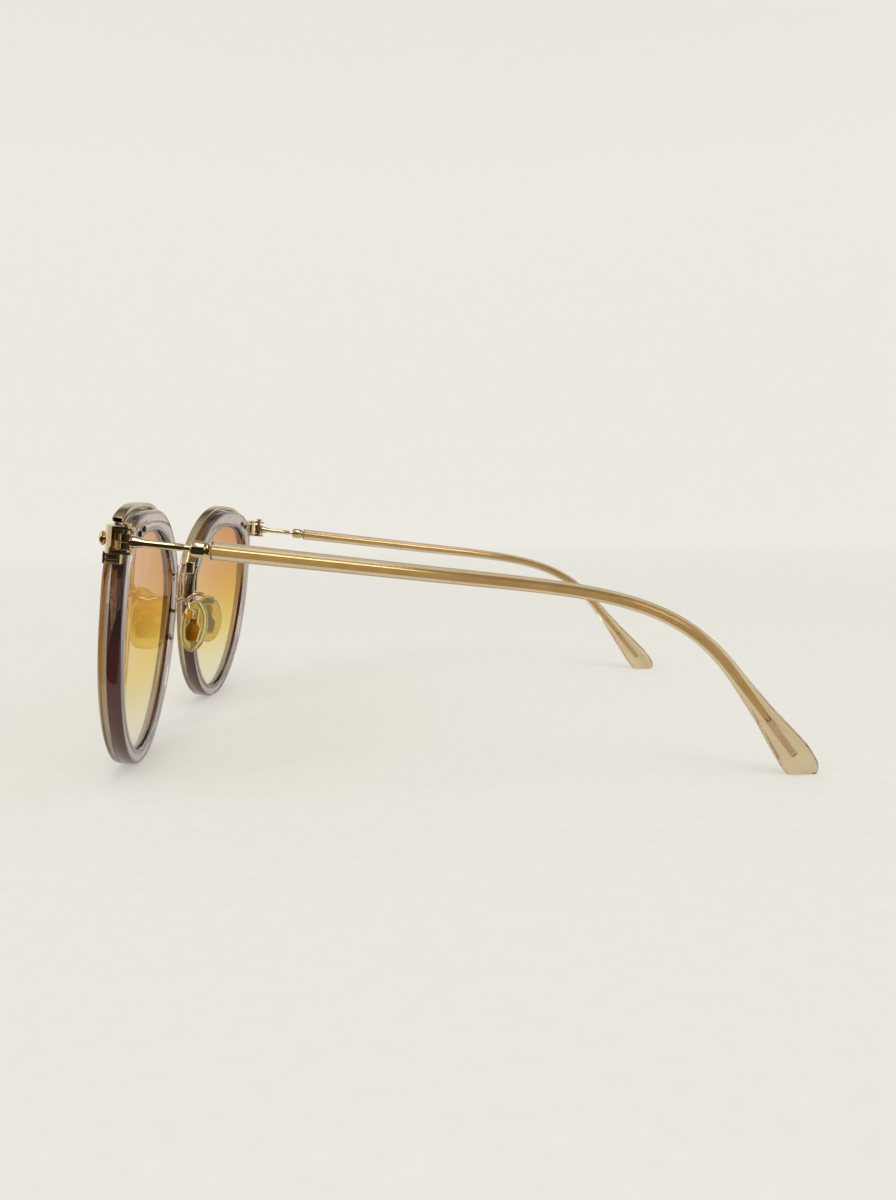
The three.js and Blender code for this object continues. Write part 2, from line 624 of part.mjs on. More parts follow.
const shared = {
  rim: rimGeometry(),
  lens: lensDisc(),
  brow: browBar(),
  endPiece: endPiece(),
  stud: frontStud(),
  screw: hingeScrew(),
  arm: padArm(),
  padScrew: padScrew(),
  pad: nosePad(),
  insert: padInsert(),
  stay: padStay(),
  core: templeCore(),
  ferrule: ferrule(),
  sleeve: templeSleeve(),
};

function rimGroup(side) {
  const group = new THREE.Group();
  group.applyMatrix4(placeRim);
  group.add(
    part("rim_" + side, shared.rim, RESIN),
    part("lens_" + side, shared.lens, LENS_TINT),
    part("brow_bar_" + side, shared.brow, GOLD),
    part("pad_arm_pin_" + side, nasalPin(NASAL_PINS.pad_arm_pin, PIN_R, 2.1, -0.1), GOLD),
    part("bridge_pin_" + side, nasalPin(NASAL_PINS.bridge_pin, PIN_R, 2.1, 0.6), GOLD),
  );
  const v = NASAL_PINS.lower_pin;
  const domed = [[0, 0], [PIN_R, 0], [PIN_R, 2.3], [0.85, 2.35], [0.8, 2.8], [0.45, 3.15], [0, 3.2]];
  group.add(part("lower_pin_" + side, turned(domed, rimPoint(nasalWall(v) + 2.1, v, NASAL_PIN_W),
    rimPoint(nasalWall(v) - 3, v, NASAL_PIN_W), 16), GOLD));
  RIVETS.forEach((at, i) => group.add(part(`rivet_${i + 1}_${side}`, rivet(at), DARK_METAL)));
  return group;
}

function frontSide(side) {
  const group = new THREE.Group();
  group.add(
    rimGroup(side),
    part("end_piece_" + side, shared.endPiece, GOLD),
    part("front_stud_" + side, shared.stud, GOLD),
    part("hinge_screw_" + side, shared.screw, GOLD),
    part("pad_arm_" + side, shared.arm, GOLD),
    part("pad_stay_" + side, shared.stay, GOLD),
    part("pad_screw_" + side, shared.padScrew, GOLD),
    part("nose_pad_" + side, shared.pad, SILICONE),
    part("pad_insert_" + side, shared.insert, AMBER),
  );
  return group;
}

function temple(side) {
  const group = new THREE.Group();
  group.add(
    part("temple_core_" + side, shared.core, GOLD),
    part("ferrule_" + side, shared.ferrule, GOLD),
    part("temple_sleeve_" + side, shared.sleeve, CHAMPAGNE),
  );
  return group;
}

const glasses = new THREE.Group();
for (const [side, sign] of [["left", 1], ["right", -1]]) {
  const front = new THREE.Group();
  front.applyMatrix4(lean);
  front.add(frontSide(side));
  const half = new THREE.Group();
  half.add(front, temple(side));
  half.scale.x = sign;
  glasses.add(half);
}
const middle = new THREE.Group();
middle.applyMatrix4(lean);
middle.add(part("bridge", bridgeGeometry(), GOLD));
glasses.add(middle);

// The origin is at the middle of the base of everything.
glasses.updateMatrixWorld(true);
const bounds = new THREE.Box3().setFromObject(glasses, true);
glasses.position.set(0, -(bounds.min.y + bounds.max.y) / 2, -bounds.min.z);

const root = new THREE.Group();
root.add(glasses);
export default root;
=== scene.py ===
"""Metal and resin sunglasses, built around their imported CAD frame.

Sizes are in millimetres in the coordinates that the CAD model uses, and MM turns them into metres.
Front coordinates: x to the wearer's left, y to the rear, z up, upright and centred on the bridge.
Rim coordinates: u towards the temple, w to the rear, v up, from the centre of one rim.
"""

import json
import math

import bmesh
import bpy
from mathutils import Matrix, Vector

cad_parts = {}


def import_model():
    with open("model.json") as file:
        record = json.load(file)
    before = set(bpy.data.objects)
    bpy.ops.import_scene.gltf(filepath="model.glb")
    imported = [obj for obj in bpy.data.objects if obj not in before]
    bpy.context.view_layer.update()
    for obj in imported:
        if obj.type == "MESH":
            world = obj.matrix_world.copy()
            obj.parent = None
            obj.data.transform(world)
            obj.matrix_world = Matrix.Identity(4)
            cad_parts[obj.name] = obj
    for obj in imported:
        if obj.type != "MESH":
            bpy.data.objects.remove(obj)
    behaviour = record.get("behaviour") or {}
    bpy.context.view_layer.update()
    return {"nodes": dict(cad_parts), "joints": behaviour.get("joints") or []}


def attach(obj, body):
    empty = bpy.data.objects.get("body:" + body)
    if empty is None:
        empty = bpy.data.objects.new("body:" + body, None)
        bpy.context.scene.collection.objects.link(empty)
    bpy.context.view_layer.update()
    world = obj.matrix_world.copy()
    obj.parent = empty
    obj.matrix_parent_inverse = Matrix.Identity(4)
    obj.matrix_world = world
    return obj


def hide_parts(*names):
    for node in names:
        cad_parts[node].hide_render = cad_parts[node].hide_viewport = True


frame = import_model()

MM = 0.001
SIDES = (("left", 1), ("right", -1))

# The front and its rims.
FRONT = {"y": -0.4, "z": 32.75, "tilt": math.radians(-6.4)}
RIM_PLACE = {"x": 35.9, "y": 0.63, "z": 0.2, "wrap": math.radians(4.3)}
RIM_DEPTH = 4.2
OUTER = {"half": 28.4, "top": 20.5, "bottom": 32.75, "corner": 3.6, "brow": 1.8, "round": 2.0}
INNER = {"half": 24.2, "top": 16.1, "bottom": 29.65, "corner": 3.2, "brow": 1.8, "round": 2.0}
GROOVE = {"depth": 0.9, "front": 1.3, "rear": 3.5}
SEAM = {"at": 1.75, "half": 0.09, "depth": 0.07}
LENS = {"edge": 0.6, "front": 1.5, "rear": 3.3, "dome": 1.7}
EDGE_BAND = {"point": 4.0, "taper": 12.0}
BROW = {"start": 51, "end": 161, "gap": 0.12, "height": 1.13, "front": 0.0, "rear": 2.1}
NASAL_PINS = {"bridge_pin": 5.6, "pad_arm_pin": -3.7, "lower_pin": -10.2}
NASAL_PIN_W = 3.0
PIN_R = 0.42

# End piece and hinge, in front coordinates.
HINGE = Vector((68.8, 8.2, 15.4))
KNUCKLE_R = 1.25
KNUCKLE_HALF = 1.35
BRACKET_PLAN = [
    (55, 1.7), (60, 3.0), (64.5, 3.4), (67, 4.1), (69.9, 5.4), (70.5, 6.5), (70.5, 8.3), (70.0, 9.4),
    (68.8, 9.9), (67.6, 9.4), (67.1, 8.3), (66.6, 6.7), (60, 6.4), (55, 5.4),
]
POCKET_PLAN = [
    (65.3, 4.4), (66.8, 4.7), (69.4, 5.9), (72, 7.2), (72, 12), (66.8, 12), (66.8, 7.2), (65.3, 7.2),
]
BRACKET = {"bottom": 13.15, "top": 17.95, "sheet": 0.75}
FOOT = {"bottom": 11.0, "outer": 65.2, "recesses": ((0.9, 12.1, 12.85), (0.6, 11.25, 11.8))}
STUD = Vector((64.0, 3.1, 15.4))

# Temple, on the table.
WIRE_R = 0.65
CORE_R = 0.55
BORE = 0.53
CONE = {"start": 0.75, "shoulder": 1.3, "end": 3.3, "wide": 1.1}
FERRULE_START = 10.8
FERRULE_LENGTH = 2.8
SLEEVE_START = 14.5
BEND_START = Vector((66.8, 60, 40.55))
BEND_END = Vector((62.9, 118.2, 20.2))
TIP = Vector((59.8, 134.2, -0.7))
BEND_REACH = (32, 20)
TABLE = 0.07
SLEEVE_SIZES = [
    (0, 0.9, 1.7), (0.6, 1.1, 2.5), (1.8, 1.18, 3.05), (5.6, 1.2, 3.35), (11, 1.25, 2.75),
    (16.2, 1.3, 2.1), (26, 1.33, 1.45), (36, 1.3, 1.3), (55, 1.27, 1.27), (80, 1.42, 1.42),
    (125, 1.63, 1.63),
]

# Nose pad, about its own centre: x towards the nose, y to the rear, z up.
PAD = {"place": Vector((7.5, 7.0, -6.9)), "half_width": 3.5, "half_height": 6.4}
PAD_SPLAY = math.radians(15)
PAD_FLARE = math.radians(14)
PAD_PIVOT = Vector((-2.0, 0, 2.1))
CHEEK = {"inner": 0.7, "outer": 1.15, "back": -3.5, "front": -1.4, "top": 3.5, "bottom": 1.3}

# ------------------------------------------------------------------ frames of reference


def pad_place():
    nose = Vector((-math.cos(PAD_SPLAY), math.sin(PAD_SPLAY), 0))
    up = Vector((-math.sin(PAD_FLARE), 0, math.cos(PAD_FLARE)))
    x = (nose - up * nose.dot(up)).normalized()
    y = up.cross(x)
    turn = Matrix((x, y, up)).transposed().to_4x4()
    return Matrix.Translation(PAD["place"]) @ turn


LEAN = Matrix.Translation((0, FRONT["y"], FRONT["z"])) @ Matrix.Rotation(FRONT["tilt"], 4, "X")
HINGE_ON_TABLE = LEAN @ HINGE
PACKED_HINGE = next(j["pos_m"] for j in frame["joints"] if j["name"] == "temple_fold_left")
ON_TABLE = Matrix.Translation(Vector(PACKED_HINGE) / MM - HINGE_ON_TABLE)
ON_FRONT = ON_TABLE @ LEAN
ON_RIM = ON_FRONT @ (
    Matrix.Translation((RIM_PLACE["x"], RIM_PLACE["y"], RIM_PLACE["z"]))
    @ Matrix.Rotation(RIM_PLACE["wrap"], 4, "Z")
)
ON_PAD = ON_FRONT @ pad_place()

# ------------------------------------------------------------------ shells


def fillet(points, radius, steps=4, closed=True):
    """The same outline with each corner rounded over up to `radius` along its two edges."""
    made = []
    count = len(points)
    for i, corner in enumerate(points):
        here = Vector(corner)
        if not closed and i in (0, count - 1):
            made.append(here)
            continue
        before, after = Vector(points[i - 1]) - here, Vector(points[(i + 1) % count]) - here
        a = here + before.normalized() * min(radius, before.length * 0.48)
        b = here + after.normalized() * min(radius, after.length * 0.48)
        for k in range(steps + 1):
            t = k / steps
            made.append(a * (1 - t) ** 2 + here * 2 * t * (1 - t) + b * t**2)
    return made


def loft(rings, loop=False, caps=True):
    """A shell through equal rings of points: a closed loop of rings, or a tube with end caps."""
    n = len(rings[0])
    points = [Vector(p) for ring in rings for p in ring]
    spans = len(rings) if loop else len(rings) - 1
    faces = []
    for i in range(spans):
        a, b = i * n, (i + 1) % len(rings) * n
        faces += [(a + j, a + (j + 1) % n, b + (j + 1) % n, b + j) for j in range(n)]
    if caps and not loop:
        faces += [tuple(range(n)), tuple(range(len(points) - n, len(points)))]
    return points, faces


def lathe(profile, start, towards, sides=48):
    """A turned shell. The profile is (radius, distance along the axis) and ends on the axis."""
    axis = (Vector(towards) - Vector(start)).normalized()
    turn = axis.to_track_quat("Z", "Y")
    rings = []
    for r, h in profile:
        ring = [Vector((max(r, 1e-3) * math.cos(2 * math.pi * k / sides),
                        max(r, 1e-3) * math.sin(2 * math.pi * k / sides), h)) for k in range(sides)]
        rings.append([Vector(start) + turn @ p for p in ring])
    return loft(rings)


def prism(outline, low, high):
    """An outline (x, y) raised from one height to another."""
    return loft([[Vector((p[0], p[1], z)) for p in outline] for z in (low, high)])


def block(low, high):
    (x0, y0, z0), (x1, y1, z1) = low, high
    return prism([(x0, y0), (x1, y0), (x1, y1), (x0, y1)], z0, z1)


def smooth_curve(points, per_span=12):
    """Points along a smooth curve through the given ones."""
    p = [Vector(q) for q in points]
    p = [p[0] * 2 - p[1], *p, p[-1] * 2 - p[-2]]
    made = []
    for i in range(1, len(p) - 2):
        for k in range(per_span):
            t = k / per_span
            a, b, c, d = p[i - 1 : i + 3]
            made.append(0.5 * (2 * b + (c - a) * t + (2 * a - 5 * b + 4 * c - d) * t**2
                               + (3 * b - a - 3 * c + d) * t**3))
    return [*made, p[-2]]


def tube(path, across_size, up_size, side, sides=24):
    """A round or oval tube along a list of points. Both sizes may be functions of the share of it."""
    rings = []
    last = len(path) - 1
    for i, at in enumerate(path):
        tangent = (path[min(i + 1, last)] - path[max(i - 1, 0)]).normalized()
        across = (side - tangent * side.dot(tangent)).normalized()
        up = across.cross(tangent)
        a = across_size(i / last) if callable(across_size) else across_size
        b = up_size(i / last) if callable(up_size) else up_size
        turn = [2 * math.pi * k / sides for k in range(sides)]
        rings.append([at + across * a * math.cos(q) + up * b * math.sin(q) for q in turn])
    return loft(rings)


def mesh_of(name, shells, place, sign, hollow=()):
    """One mesh from several closed shells, in metres. Shells in `hollow` face inwards."""
    bm = bmesh.new()
    for k, (points, faces) in enumerate([*shells, *hollow]):
        added = [bm.verts.new(place @ p) for p in points]
        made = [bm.faces.new([added[i] for i in f]) for f in faces]
        for v in added:
            v.co = Vector((v.co.x * sign, v.co.y, v.co.z)) * MM
        bmesh.ops.recalc_face_normals(bm, faces=made)
        if k >= len(shells):
            bmesh.ops.reverse_faces(bm, faces=made)
    mesh = bpy.data.meshes.new(name)
    bm.to_mesh(mesh)
    bm.free()
    mesh.shade_smooth()
    mesh.set_sharp_from_angle(angle=math.radians(38))
    return mesh


def add_object(name, mesh):
    made = bpy.data.objects.new(name, mesh)
    bpy.context.scene.collection.objects.link(made)
    return made


def apply_modifiers(piece):
    """Bakes a piece's modifiers into its mesh."""
    bpy.context.view_layer.update()
    seen = piece.evaluated_get(bpy.context.evaluated_depsgraph_get())
    mesh = bpy.data.meshes.new_from_object(seen)
    piece.modifiers.clear()
    piece.data = mesh
    mesh.shade_smooth()
    mesh.set_sharp_from_angle(angle=math.radians(38))


def take_in(piece, mesh):
    """Adds another mesh to a piece's own."""
    bm = bmesh.new()
    bm.from_mesh(piece.data)
    bm.from_mesh(mesh)
    bm.to_mesh(piece.data)
    bm.free()


def cut_away(piece, name, shells, place, sign):
    """Cuts shells out of a piece."""
    tool = add_object(name, mesh_of(name, shells, place, sign))
    step = piece.modifiers.new("cut", "BOOLEAN")
    step.operation = "DIFFERENCE"
    step.object = tool
    step.solver = "EXACT"
    apply_modifiers(piece)
    bpy.data.objects.remove(tool)


def soften(piece, width, segments=3):
    """Rounds the sharp edges of a piece."""
    step = piece.modifiers.new("edges", "BEVEL")
    step.width = width * MM
    step.segments = segments
    step.limit_method = "ANGLE"
    step.angle_limit = math.radians(38)
    step.use_clamp_overlap = True
    apply_modifiers(piece)


def fuse(piece, voxel, rounds=6):
    """Melts overlapping shells into one cast surface with small fillets."""
    step = piece.modifiers.new("cast", "REMESH")
    step.mode = "VOXEL"
    step.voxel_size = voxel * MM
    relax = piece.modifiers.new("relax", "SMOOTH")
    relax.factor = 0.5
    relax.iterations = rounds
    apply_modifiers(piece)


def finish_piece(piece, material, slot, body, *nodes):
    """Gives a finished piece its material and body, and hides the CAD nodes that it stands for."""
    piece.data.materials.clear()
    piece.data.materials.append(material)
    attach(piece, body)
    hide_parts(*nodes)
    return piece


def piece(name, shells, place, sign, material, slot, body, hollow=()):
    """A piece that stands for the CAD node of the same name."""
    made = add_object(name + ".fine", mesh_of(name, shells, place, sign, hollow))
    return finish_piece(made, material, slot, body, name)


# ------------------------------------------------------------------ materials


def linear(*rgb):
    """A colour given as three screen values from 0 to 255, as the shader's linear one."""
    parts = [c / 255 for c in rgb]
    return [c / 12.92 if c <= 0.04045 else ((c + 0.055) / 1.055) ** 2.4 for c in parts]


PAPER = linear(235, 232, 224)


def tint(*rgb):
    """The colour of a clear body that turns the pale surroundings behind it into `rgb`."""
    return [min(1, c / p) for c, p in zip(linear(*rgb), PAPER)]


def new_material(name, roughness, metallic=0.0, transmission=0.0, ior=1.5):
    m = bpy.data.materials.new(name)
    m.use_nodes = True
    shader = m.node_tree.nodes["Principled BSDF"]
    shader.inputs["Roughness"].default_value = roughness
    shader.inputs["Metallic"].default_value = metallic
    shader.inputs["Transmission Weight"].default_value = transmission
    shader.inputs["IOR"].default_value = ior
    return m, shader


def node(m, kind, **values):
    made = m.node_tree.nodes.new(kind)
    for key, value in values.items():
        if key in made.inputs:
            made.inputs[key].default_value = value
        else:
            setattr(made, key, value)
    return made


def wire(m, out, into):
    m.node_tree.links.new(out, into)


def ramp(m, source, stops):
    """Colours along a value: stops are (place from 0 to 1, colour)."""
    made = node(m, "ShaderNodeValToRGB")
    wire(m, source, made.inputs["Fac"])
    elements = made.color_ramp.elements
    while len(elements) < len(stops):
        elements.new(0.5)
    for element, (at, colour) in zip(elements, stops):
        element.position = at
        element.color = (*colour, 1)
    return made.outputs["Color"]


def noise(m, scale, detail=3.0, stretch=(1, 1, 1)):
    """Even noise in the piece's own coordinates. The scale is in spots per metre."""
    place = node(m, "ShaderNodeTexCoord")
    mapped = node(m, "ShaderNodeMapping")
    mapped.inputs["Scale"].default_value = stretch
    wire(m, place.outputs["Object"], mapped.inputs["Vector"])
    made = node(m, "ShaderNodeTexNoise", Scale=scale, Detail=detail)
    wire(m, mapped.outputs["Vector"], made.inputs["Vector"])
    return made.outputs["Fac"]


def bumped(m, shader, source, strength, distance):
    bump = node(m, "ShaderNodeBump", Strength=strength, Distance=distance * MM)
    wire(m, source, bump.inputs["Height"])
    wire(m, bump.outputs["Normal"], shader.inputs["Normal"])


def height(m, low, high):
    """How high a point of the upright glasses is, from 0 at `low` to 1 at `high` millimetres."""
    place = node(m, "ShaderNodeTexCoord")
    split = node(m, "ShaderNodeSeparateXYZ")
    wire(m, place.outputs["Object"], split.inputs["Vector"])
    span = node(m, "ShaderNodeMapRange")
    span.inputs["From Min"].default_value = low * MM
    span.inputs["From Max"].default_value = high * MM
    wire(m, split.outputs["Z"], span.inputs["Value"])
    return span.outputs["Result"]


def distance(m, near, far):
    """How far a point is from the middle of the floor, from 0 at `near` to 1 at `far` metres."""
    place = node(m, "ShaderNodeTexCoord")
    length = node(m, "ShaderNodeVectorMath", operation="LENGTH")
    wire(m, place.outputs["Object"], length.inputs[0])
    span = node(m, "ShaderNodeMapRange")
    span.inputs["From Min"].default_value = near
    span.inputs["From Max"].default_value = far
    wire(m, length.outputs["Value"], span.inputs["Value"])
    return span.outputs["Result"]


def metal(name, light, dark, roughness, wear):
    """Plated metal: a slow change of tone, fine scratches, and roughness that varies with wear."""
    m, shader = new_material(name, roughness, metallic=1.0)
    tone = ramp(m, noise(m, 220, 4), [(0.35, linear(*dark)), (0.62, linear(*light))])
    wire(m, tone, shader.inputs["Base Color"])
    rub = node(m, "ShaderNodeMapRange")
    rub.inputs["To Min"].default_value = roughness
    rub.inputs["To Max"].default_value = roughness + wear
    wire(m, noise(m, 900, 5), rub.inputs["Value"])
    wire(m, rub.outputs["Result"], shader.inputs["Roughness"])
    bumped(m, shader, noise(m, 5200, 2), 0.05, 0.002)
    return m


def rim_resin():
    """Laminated resin: a browner layer in front of a seam, and a clear grey one behind it."""
    m, shader = new_material("rim_resin", 0.03, transmission=0.97)
    depth = node(m, "ShaderNodeAttribute", attribute_name="depth")
    layers = ramp(m, depth.outputs["Fac"], [
        (0.0, tint(172, 152, 128)), (0.3, tint(168, 152, 132)), (0.4, tint(192, 182, 172)),
        (0.6, tint(184, 172, 164)), (1.0, tint(176, 166, 160)),
    ])
    cloud = ramp(m, noise(m, 120, 2), [(0.3, (0.9, 0.9, 0.9)), (0.7, (1, 1, 1))])
    mix = node(m, "ShaderNodeMix", data_type="RGBA", blend_type="MULTIPLY")
    mix.inputs["Factor"].default_value = 1.0
    wire(m, layers, mix.inputs["A"])
    wire(m, cloud, mix.inputs["B"])
    wire(m, mix.outputs["Result"], shader.inputs["Base Color"])
    bumped(m, shader, noise(m, 700, 2), 0.03, 0.01)
    return m


def lens_tint():
    m, shader = new_material("lens_tint", 0.01, transmission=1.0, ior=1.2)
    tone = ramp(m, height(m, 2, 52), [
        (0.06, tint(222, 218, 194)), (0.2, tint(226, 211, 158)), (0.32, tint(226, 198, 102)),
        (0.5, tint(218, 172, 70)), (0.68, tint(208, 150, 66)), (0.86, tint(200, 138, 68)),
        (1.0, tint(190, 122, 58)),
    ])
    wire(m, tone, shader.inputs["Base Color"])
    return m


def lens_edge():
    """The ground edge of the lens, where the tint is seen through its whole width. It also glows faintly in
    the same colours: painted light.
    """
    m, shader = new_material("lens_edge", 0.6)
    shader.inputs["Specular IOR Level"].default_value = 0.0
    tone = ramp(m, height(m, 2, 44), [
        (0.0, linear(130, 92, 70)), (0.2, linear(92, 48, 34)), (0.42, linear(92, 8, 6)),
        (0.7, linear(44, 2, 2)), (1.0, linear(36, 2, 2)),
    ])
    streaks = ramp(m, noise(m, 380, 3, (1, 1, 0.25)), [(0.35, (0.8, 0.8, 0.8)), (0.7, (1, 1, 1))])
    mix = node(m, "ShaderNodeMix", data_type="RGBA", blend_type="MULTIPLY")
    mix.inputs["Factor"].default_value = 1.0
    wire(m, tone, mix.inputs["A"])
    wire(m, streaks, mix.inputs["B"])
    wire(m, mix.outputs["Result"], shader.inputs["Base Color"])
    # Painted light: the band gives off a faint glow in its own colours.
    wire(m, mix.outputs["Result"], shader.inputs["Emission Color"])
    shader.inputs["Emission Strength"].default_value = 0.25
    return m


def clear_resin(name, colour, cloudy, roughness, transmission):
    m, shader = new_material(name, roughness, transmission=transmission)
    tone = ramp(m, noise(m, 160, 3), [(0.3, tint(*cloudy)), (0.7, tint(*colour))])
    slant = node(m, "ShaderNodeLayerWeight", Blend=0.5)
    edge = ramp(m, slant.outputs["Facing"], [(0.45, (1, 1, 1)), (0.95, (0.42, 0.36, 0.28))])
    mix = node(m, "ShaderNodeMix", data_type="RGBA", blend_type="MULTIPLY")
    mix.inputs["Factor"].default_value = 1.0
    wire(m, tone, mix.inputs["A"])
    wire(m, edge, mix.inputs["B"])
    wire(m, mix.outputs["Result"], shader.inputs["Base Color"])
    bumped(m, shader, noise(m, 900, 2), 0.03, 0.003)
    return m


GOLD = metal("gold", (212, 188, 144), (203, 178, 133), 0.07, 0.04)
SATIN_GOLD = metal("satin_gold", (204, 186, 150), (184, 162, 122), 0.2, 0.1)
DARK_METAL = metal("dark_metal", (84, 72, 62), (52, 42, 36), 0.3, 0.2)
AMBER = metal("amber", (186, 136, 52), (150, 108, 36), 0.35, 0.2)
RESIN = rim_resin()
TINT = lens_tint()
GLOWING_EDGE = lens_edge()
CHAMPAGNE = clear_resin("champagne", (206, 186, 148), (198, 176, 136), 0.03, 0.95)
SILICONE = clear_resin("silicone", (222, 208, 142), (212, 196, 124), 0.16, 0.85)

# ------------------------------------------------------------------ rims


def powered(value, exponent):
    return math.copysign(abs(value) ** (2 / exponent), value)


def outline(o, angle):
    """A point (u, v) of a rim outline at an angle from the temporal side."""
    c, s = math.cos(angle), math.sin(angle)
    n = (o["corner"] if c > 0 else o["brow"]) if s > 0 else o["round"]
    return Vector((o["half"] * powered(c, n), (o["top"] if s > 0 else o["bottom"]) * powered(s, n)))


def outward(o, angle):
    step = 1e-3
    along = (outline(o, angle + step) - outline(o, angle - step)).normalized()
    return Vector((along.y, -along.x))


def even_angles(o, count):
    """Angles whose outline points lie about the same distance apart."""
    fine = 4000
    at = [2 * math.pi * i / fine for i in range(fine + 1)]
    length = [0.0]
    for a, b in zip(at, at[1:]):
        length.append(length[-1] + (outline(o, b) - outline(o, a)).length)
    angles = []
    i = 0
    for k in range(count):
        while length[i + 1] < k / count * length[-1]:
            i += 1
        angles.append(at[i])
    return angles


RIM_ANGLES = even_angles(OUTER, 200)


def rim_section(width):
    """A rim's section as (distance from the inner edge, depth), with a groove and a seam."""
    seam, half = SEAM["at"], SEAM["half"]
    front, rear, depth = GROOVE["front"], GROOVE["rear"], GROOVE["depth"]
    soft = fillet([(width, seam - half), (width - 0.05, 0), (0.45, 0), (0, front)], 1.1, 6, closed=False)
    groove = [Vector(p) for p in ((depth, front), (depth, rear))]
    corners = [(0, rear), (0.3, RIM_DEPTH), (width, RIM_DEPTH), (width, seam + half)]
    back = fillet(corners, 0.9, 6, closed=False)
    return [*soft, *groove, *back, Vector((width - SEAM["depth"], seam))]


def rim_shell():
    rings = []
    for angle in RIM_ANGLES:
        inner = outline(INNER, angle)
        band = outline(OUTER, angle) - inner
        out = band.normalized()
        ring = []
        for d, w in rim_section(band.length):
            q = inner + out * d
            ring.append(Vector((q.x, w, q.y)))
        rings.append(ring)
    return loft(rings, loop=True)


def rim_disc(o, grow, rows):
    """A filled disc of a rim outline. Rows are (share of the radius, depth)."""
    rings = []
    for share, w in rows:
        flat = [(outline(o, a) + outward(o, a) * grow) * max(share, 1e-3) for a in RIM_ANGLES]
        rings.append([Vector((q.x, w, q.y)) for q in flat])
    return loft(rings)


def lens_shell():
    shares = [i / 14 for i in range(15)]
    bow = [-LENS["dome"] * (1 - s * s) for s in shares]
    front = [(s, LENS["front"] + b) for s, b in zip(shares, bow)]
    rear = [(s, LENS["rear"] + b) for s, b in zip(shares, bow)]
    return rim_disc(INNER, LENS["edge"], [*front, *reversed(rear)])


def edge_shell():
    """A thin band round the lower edge of the lens, in the groove. It narrows to a point at both ends."""
    rings = []
    for k in range(241):
        angle = math.radians(160 + 220 * k / 240)
        at, out = outline(INNER, angle), outward(INNER, angle)
        full = min(1.0, max(0.012, (EDGE_BAND["point"] - at.y) / EDGE_BAND["taper"])) ** 0.7
        front = LENS["rear"] - (LENS["rear"] - LENS["front"]) * full
        ring = []
        for grow, w in ((0.2, front), (0.33, front), (0.33, LENS["rear"]), (0.2, LENS["rear"])):
            q = at + out * (LENS["edge"] + grow)
            ring.append(Vector((q.x, w, q.y)))
        rings.append(ring)
    return loft(rings)


def store_depth(made, place, sign):
    """Keeps how deep each point of a rim lies, from 0 in front to 1 at the rear."""
    back = place.inverted()
    store = made.data.attributes.new("depth", "FLOAT", "POINT")
    for v, item in zip(made.data.vertices, store.data):
        at = Vector((v.co.x * sign, v.co.y, v.co.z)) / MM
        item.value = (back @ at).y / RIM_DEPTH


def brow_shell():
    """The brow bar: a rounded strip along the top of the rim, hollow at its temporal end."""
    flat = fillet([(-1, -1), (1, -1), (1, 1), (-1, 1)], 0.55, 5)
    middle, half = (BROW["front"] + BROW["rear"]) / 2, (BROW["rear"] - BROW["front"]) / 2

    def ring(t, shrink=1.0):
        angle = math.radians(BROW["start"] + (BROW["end"] - BROW["start"]) * t)
        out = outward(OUTER, angle)
        taper = 1 - 0.25 * max(0, (t - 0.8) / 0.2)
        made = []
        for x, z in flat:
            lift = BROW["gap"] + BROW["height"] * taper * (0.5 + 0.5 * x * shrink)
            q = outline(OUTER, angle) + out * lift
            made.append(Vector((q.x, middle + half * z * shrink, q.y)))
        return made

    steps = 90
    hollow = [ring(0.05, 0.5), ring(0.045, 0.62), ring(0.0, 0.68), ring(0.0, 0.92), ring(0.002, 1.0)]
    along = [ring(0.002 + 0.992 * k / steps) for k in range(1, steps + 1)]
    return loft([*hollow, *along, ring(0.998, 0.9), ring(1.0, 0.6)])


def nasal_wall(v):
    size, n = (OUTER["top"], OUTER["brow"]) if v > 0 else (OUTER["bottom"], OUTER["round"])
    return -OUTER["half"] * (1 - (abs(v) / size) ** n) ** (1 / n)


def lower_pin_shell():
    v = NASAL_PINS["lower_pin"]
    profile = fillet(
        [(0, 0), (PIN_R, 0), (PIN_R, 2.3), (0.85, 2.35), (0.8, 2.8), (0.45, 3.15), (0, 3.2)], 0.15, 3, False)
    start = Vector((nasal_wall(v) + 2.1, NASAL_PIN_W, v))
    return lathe(profile, start, start + Vector((-1, 0, 0)))


for side, sign in SIDES:
    rim = piece(f"rim_{side}", [rim_shell()], ON_RIM, sign, RESIN, "rim_resin", "front")
    store_depth(rim, ON_RIM, sign)
    piece(f"lens_{side}", [lens_shell()], ON_RIM, sign, TINT, "lens_tint", "front")
    band = add_object(f"lens_edge_{side}", mesh_of("lens_edge", [edge_shell()], ON_RIM, sign))
    band.data.materials.append(GLOWING_EDGE)
    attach(band, "front")
    piece(f"brow_bar_{side}", [brow_shell()], ON_RIM, sign, SATIN_GOLD, "gold_metal", "front")
    piece(f"lower_pin_{side}", [lower_pin_shell()], ON_RIM, sign, GOLD, "gold_metal", "front")

# ------------------------------------------------------------------ bridge


def bridge_shells():
    v = 6
    end = RIM_PLACE["x"] + nasal_wall(v) - 0.95
    y = 1.55
    half = [(end, y, v + 0.2), (6.1, 1.75, 7.45), (3.2, 2.1, 7.95)]
    path = smooth_curve([*half, (0, 2.2, 8.1), *[(-x, b, c) for x, b, c in reversed(half)]])
    feet = []
    for turn in (1, -1):
        low, high = sorted((turn * (end - 1.5), turn * (end + 0.2)))
        feet.append(block((low, y - 0.9, 4.3), (high, y + 1.0, 7.4)))
    return [tube(path, 0.85, 1.1, Vector((0, 1, 0))), *feet]


